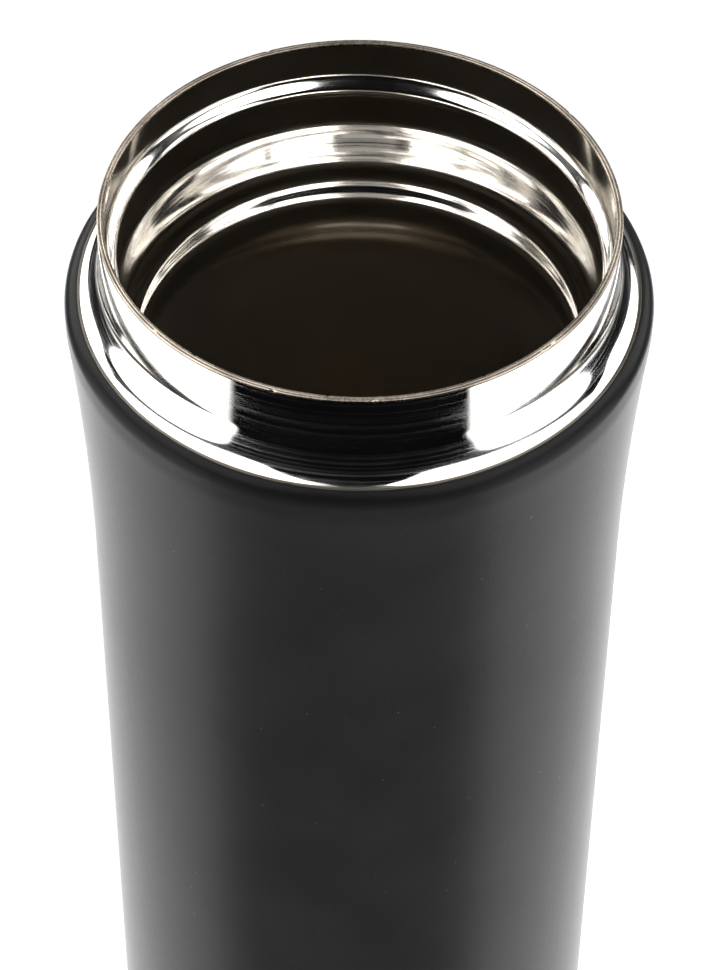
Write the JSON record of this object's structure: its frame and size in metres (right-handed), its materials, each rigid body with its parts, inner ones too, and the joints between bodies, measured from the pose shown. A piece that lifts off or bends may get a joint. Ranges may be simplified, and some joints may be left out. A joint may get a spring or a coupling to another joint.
{
  "type": "vacuum flask",
  "caption": "Open double-walled steel flask with a bare threaded neck, a rounded black shoulder and a body that flares in below it.",
  "frame": {"origin": "centre of the foot, on the plane that the flask stands on", "axes": "+Z along the flask's axis, out of the mouth; +X and +Y across it, with no front or back"},
  "size_m": [0.0756, 0.0756, 0.205],
  "materials": {
    "powder_coated_steel": "satin",
    "polished_steel": "polished",
    "spun_steel": "satin",
    "ground_weld": "satin",
    "copper_foil": "satin",
    "solder_glass": "gloss",
    "foam_tape": "matte",
    "getter_metal": "matte"
  },
  "bodies": {
    "root": {"outer_shell": "powder_coated_steel", "inner_liner": "polished_steel", "rim_weld": "ground_weld", "inner_bottom": "polished_steel", "liner_seam_weld": "ground_weld", "foil_wrap": "copper_foil", "foil_disc": "copper_foil", "outer_bottom": "spun_steel", "foot_weld": "ground_weld", "vacuum_seal": "solder_glass", "base_cover": "spun_steel", "cover_tape": "foam_tape", "getter_pellet": "getter_metal", "getter_clip": "spun_steel"}
  },
  "joints": []
}
